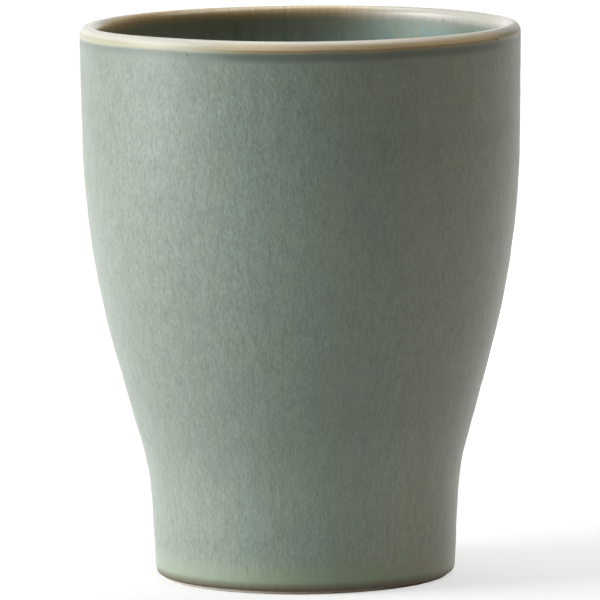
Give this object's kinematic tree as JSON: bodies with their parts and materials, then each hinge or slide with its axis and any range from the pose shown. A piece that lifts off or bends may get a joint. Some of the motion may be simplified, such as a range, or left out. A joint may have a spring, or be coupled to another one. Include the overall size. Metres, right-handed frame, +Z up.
{
  "type": "brush pot",
  "caption": "Flared stoneware pot with a full-round lip, a waisted foot and a streaked satin glaze, open at the top to stand brushes or pens upright.",
  "frame": {"origin": "centre of the bare foot ring, on the surface that the pot stands on", "axes": "+Z up along the pot's axis, from the foot to the lip; X and Y are alike, because the pot is round"},
  "size_m": [0.0952, 0.0952, 0.12],
  "materials": {
    "stoneware": "bare fired clay, matt and fine-grained",
    "outer_glaze": "satin sage-green glaze with fine vertical streaks",
    "rim_glaze": "satin cream glaze breaking to tan and brown",
    "inner_glaze": "satin grey-green glaze with vertical streaks",
    "foot_edge_glaze": "thin satin glaze breaking to brown at its wiped edge",
    "base_glaze": "satin sage-green glaze"
  },
  "bodies": {
    "root": {"stoneware_body": "stoneware", "outer_glaze": "outer_glaze", "rim_glaze": "rim_glaze", "inner_glaze": "inner_glaze", "foot_edge_glaze": "foot_edge_glaze", "base_glaze": "base_glaze"}
  },
  "joints": []
}
